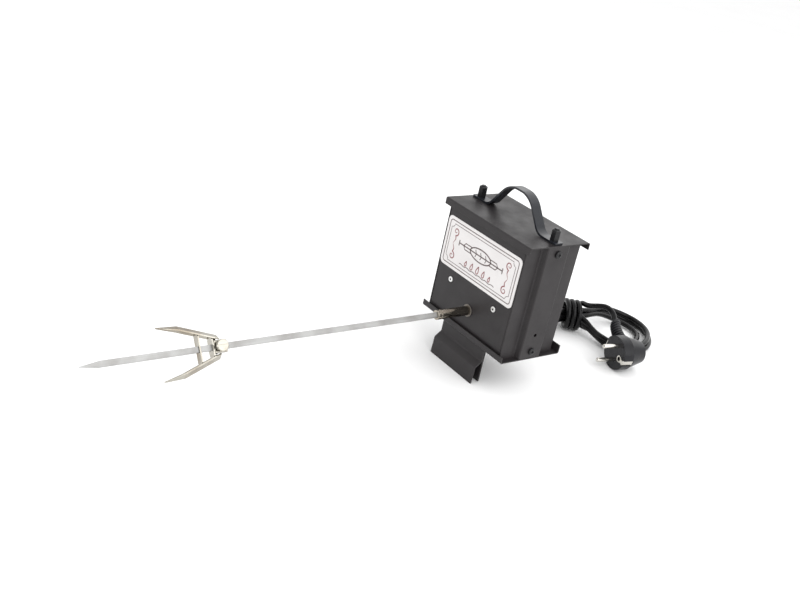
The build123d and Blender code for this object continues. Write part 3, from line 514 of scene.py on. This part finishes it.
def along_cable(x, y, reach):
    """Point beside the cable's axis, in mm; the boot bends up and away from the face."""
    bend = BOOT_BEND * (max(0.0, reach - BOOT_START) / (BOOT_END - BOOT_START)) ** 2
    beside = PLUG_AXIS * (BOOT_DEPTH + x) + PIN_SIDE * y
    return PLUG_FACE + (beside + CABLE_SIDE * reach + bend) * MM


def ribbed_boot(mesh):
    """Tapered bend relief: eight ribs over a soft core, closed round the lead."""
    profile = [(BOOT_START, BORE_R), (BOOT_START, 6.9)]
    ribs = 8
    for i in range(ribs):
        start = BOOT_START + 0.4 + 3.3 * i
        top = 6.9 - 0.7 * i / ribs
        profile += [(start + 0.2, top), (start + 1.3, top), (start + 1.55, top - 0.35),
                    (start + 1.75, top - 2.1), (start + 3.0, top - 2.2), (start + 3.15, top - 0.5)]
    profile += [(BOOT_END - 0.8, 5.6), (BOOT_END, 5.0), (BOOT_END, BORE_R), (BOOT_START, BORE_R)]
    turned(mesh, along_cable, profile, 40)


boot = mesh_piece("ribbed_boot", ribbed_boot, "box", [MATERIALS["plug_black"]])
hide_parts("plug_boot")


def earth_socket(mesh):
    """Bright sleeve of the earth hole, with the tab that joins it to the clip."""
    profile = [(0.35, 2.25), (-0.35, 2.25), (-0.55, 2.55), (-0.55, 3.5), (-0.3, 3.8), (0.35, 3.8)]
    turned(mesh, lambda x, y, reach: on_plug(x - 10, y, reach), profile + profile[:1], 32)
    corners = [(-17.2, -2.4), (-13.2, -2.0), (-13.2, 2.0), (-17.2, 2.4)]
    front = [mesh.verts.new(on_plug(x, y, -0.45)) for x, y in corners]
    behind = [mesh.verts.new(on_plug(x, y, 0.3)) for x, y in corners]
    mesh.faces.new(front)
    mesh.faces.new(behind[::-1])
    for i in range(4):
        j = (i + 1) % 4
        mesh.faces.new((front[i], front[j], behind[j], behind[i]))


earth = mesh_piece("plug_earth_sleeve", earth_socket, "box", [MATERIALS["nickel"]], False)

# ---------------------------------------------------------------- strain relief at the box
GLAND_LOW, GLAND_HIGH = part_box("cord_gland")
GLAND_X = (GLAND_LOW.x + GLAND_HIGH.x) / 2
GLAND_Z = (GLAND_LOW.z + GLAND_HIGH.z) / 2
GLAND_START, GLAND_END = 62.5, 94.0          # from inside the rear panel to the tip, in mm


def ribbed_gland(mesh):
    """Flange against the rear panel and a tapered, ribbed sleeve round the lead."""
    profile = [(GLAND_START, BORE_R), (GLAND_START, 5.8), (64.0, 5.8), (64.0, 8.2), (64.4, 8.5),
               (66.4, 8.5), (67.0, 7.9), (67.2, 6.3)]
    ribs = 7
    for i in range(ribs):
        start = 68.6 + 3.5 * i
        top = 6.1 - 1.9 * i / ribs
        profile += [(start, top - 0.9), (start + 0.3, top - 0.1), (start + 1.8, top - 0.15),
                    (start + 2.1, top - 1.0)]
    profile += [(GLAND_END - 0.6, 3.9), (GLAND_END, 3.6), (GLAND_END, BORE_R),
                (GLAND_START, BORE_R)]

    def place(x, z, reach):
        return Vector((GLAND_X + x * MM, reach * MM, GLAND_Z + z * MM))

    turned(mesh, place, profile, 40)


gland = mesh_piece("ribbed_gland", ribbed_gland, "box", [MATERIALS["plug_black"]])
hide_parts("cord_gland")


# ---------------------------------------------------------------- mains lead
# Routes are control points of one smooth spline, in mm of the row frame.
CORD_D = 6 * MM
LEAD_ROUTE = [(-15, 94, 42), (-15, 110, 41.5), (-20, 124, 35), (-28.5, 138, 23.5),
              (-36, 152, 11), (-42, 166, 3.5), (-46, 181, -3.5)]
TAIL_ROUTE = [(-23, 199.2, 14.4), (-16, 200.5, 16.6), (-9.6, 203.8, 19.6), (-2.2, 208.3, 21.8),
              (5.2, 210.4, 19.6), (11.4, 209.2, 16.2), (17, 205.9, 12.6)]
HANK_MIDDLE = Vector((-33, 191))
HANK_HEADING = math.radians(55)
RING_RADIUS = 15.0          # control circle of the wraps; the smooth line runs 0.5 mm inside it
RING_HEIGHT = 17.6
RING_PITCH = 6.2
RING_START = -9.5
RING_TURNS = 3.22
POINTS_PER_TURN = 14


def in_hank(u, v, h):
    """Point u along the hank, v across it and h above the floor, in the row frame, in mm."""
    along = Vector((math.cos(HANK_HEADING), math.sin(HANK_HEADING)))
    place = HANK_MIDDLE + along * u + Vector((-along.y, along.x)) * v
    return (place.x, place.y, HOOK_LOW / MM + h)


def right_lobe(long, wide, lift, out, back):
    """Big lobe beside the box: out on the far side, back on the near side.

    long and wide scale it, lift raises it; out and back are its places in the neck.
    """
    shape = [(30, 18, 16), (43, 30, 13.5), (58, 40, 9), (75, 43, 4.5), (90, 33, 3), (98, 12, 3),
             (94, -12, 3), (82, -32, 3), (65, -45, 3), (47, -46, 3.5), (33, -36, 6), (24, -23, 9)]
    points = [(16 + (u - 16) * long, v * wide, h + lift * min(1, (u - 16) / 20))
              for u, v, h in shape]
    return [(15, out[0] * 1.1 + 1, RING_HEIGHT + out[1])] + points + [
        (14, back[0] * 1.1 - 6, RING_HEIGHT - 4 + back[1] * 0.8)]


def left_lobe(wide, lift, out):
    """Out of the neck on the near side and round the small lobe's fold, behind the box.

    wide is the fold's radius, lift raises it; out is its place in the neck.
    """
    points = [(-12, out[0] * 1.1 - 1, RING_HEIGHT + out[1]),
              (-23, -0.8 * wide, 12 + lift * 0.6 + out[1] * 0.3)]
    for angle in range(-90, 91, 30):
        turn = math.radians(angle)
        points.append((-34 - wide * math.cos(turn), wide * math.sin(turn),
                       3 + lift + 3 * abs(math.sin(turn)) ** 8))
    return points


def back_to_neck(wide, lift, back):
    """Up the far side of the small lobe and into the neck again."""
    return [(-23, 0.8 * wide, 12 + lift * 0.7), (-12, back[0] * 1.1 + 1, RING_HEIGHT + back[1])]


def neck(place):
    """Middle of one strand's way through the wraps."""
    return [(0, place[0], RING_HEIGHT + place[1])]


def wraps():
    """Helix of the wraps round the neck, ending over the top."""
    count = int(POINTS_PER_TURN * RING_TURNS)
    points = []
    for i in range(count + 1):
        turn = math.tau * RING_TURNS * i / count
        u = RING_START + RING_PITCH * RING_TURNS * i / count
        points.append((u, RING_RADIUS * math.cos(turn),
                       RING_HEIGHT + RING_RADIUS * math.sin(turn)))
    return points


def hank_route():
    """Three long loops through the wraps, then the wraps themselves."""
    # places of the six strands in the neck, as (across, above the wraps' middle)
    strand = [(6.0, -1.5), (-6.2, -0.5), (3.5, 5.0), (-3.2, 5.5), (0, 0), (-2.5, -5.8)]
    right = [(1.0, 1.0, 0.0), (0.96, 0.97, 6.0), (0.82, 0.7, 1.5)]          # long, wide, lift
    left = [(21.8, 5.0), (19.2, 10.4), (19.2, 0.0)]          # wide, lift
    points = neck(strand[0])
    for i in range(3):
        out, back = strand[2 * i], strand[2 * i + 1]
        points += right_lobe(*right[i], out, back) + neck(back) + left_lobe(*left[i], back)
        if i < 2:
            following = strand[2 * i + 2]
            points += back_to_neck(*left[i], following) + neck(following)
    up_to_wraps = [(-25, 16.2, 2.8), (-17, 15.2, 4.2), (-11.5, 15, 10.2)]
    return points + up_to_wraps + wraps()


def make_lead():
    """The whole lead, from the gland to the plug, as one smooth spline."""
    data = bpy.data.curves.new("mains_lead", "CURVE")
    data.dimensions = "3D"
    data.bevel_depth = 1.0          # each point's radius gives the thickness
    data.bevel_resolution = 5
    data.resolution_u = 6
    data.use_fill_caps = True
    route = LEAD_ROUTE + [in_hank(*p) for p in hank_route()] + TAIL_ROUTE
    spline = data.splines.new("NURBS")
    spline.points.add(len(route) - 1)
    for point, (x, y, z) in zip(spline.points, route):
        point.co = (x * MM, y * MM, z * MM, 1)
        point.radius = CORD_D / 2
    spline.order_u = 3
    spline.use_endpoint_u = True
    lead = bpy.data.objects.new("mains_lead", data)
    bpy.context.scene.collection.objects.link(lead)
    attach(lead, "box")
    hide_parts("power_cord", "cord_hank", "plug_tail")
    data.materials.append(MATERIALS["cord_black"])
    return lead


lead = make_lead()


# ---------------------------------------------------------------- lights and floor
FLOOR_HALF = 9.0
SKY_STRENGTH = 1.08


def area_light(name, place, target, size, watts):
    """Rectangular light at place, turned to target."""
    data = bpy.data.lights.new(name, "AREA")
    data.shape = "RECTANGLE"
    data.size = size[0]
    data.size_y = size[1]
    data.energy = watts
    light = bpy.data.objects.new(name, data)
    look = Vector(target) - Vector(place)
    light.rotation_euler = look.to_track_quat("-Z", "Y").to_euler()
    light.location = place
    bpy.context.scene.collection.objects.link(light)


area_light("key", (1.5, 0.1, 1.2), (0, 0, 0.05), (2.4, 2.4), 28)
area_light("fill", (-1.2, -1.2, 0.7), (0, -0.1, 0.05), (1.8, 1.4), 2)
area_light("rim", (-0.4, 1.3, 1.0), (0, 0.05, 0.05), (1.8, 1.4), 6)


def make_floor():
    """Plain pale floor, level with the bottom of the hook and under the lead."""
    made, tree, bsdf = shader("floor_pale")
    tone = blend_colour(tree, spread(tree, noise(tree, 3), 0, 1),
                        (0.90, 0.90, 0.90), (0.92, 0.92, 0.92))
    join(tree, bsdf, tone, spread(tree, noise(tree, 8), 0.8, 0.9),
         bumps(tree, noise(tree, 200), 0.02, 0.1 * MM))
    bsdf.inputs["Specular IOR Level"].default_value = 0.1
    data = bpy.data.meshes.new("floor")
    corners = [(x * FLOOR_HALF, y * FLOOR_HALF, HOOK_LOW)
               for x, y in ((-1, -1), (1, -1), (1, 1), (-1, 1))]
    data.from_pydata(corners, [], [(0, 1, 2, 3)])
    data.materials.append(made)
    floor = bpy.data.objects.new("floor", data)
    bpy.context.scene.collection.objects.link(floor)


make_floor()

world = bpy.data.worlds.new("studio")
world.use_nodes = True
world.node_tree.nodes["Background"].inputs["Color"].default_value = (1, 1, 1, 1)
world.node_tree.nodes["Background"].inputs["Strength"].default_value = SKY_STRENGTH
bpy.context.scene.world = world
bpy.context.scene.view_settings.view_transform = "Standard"
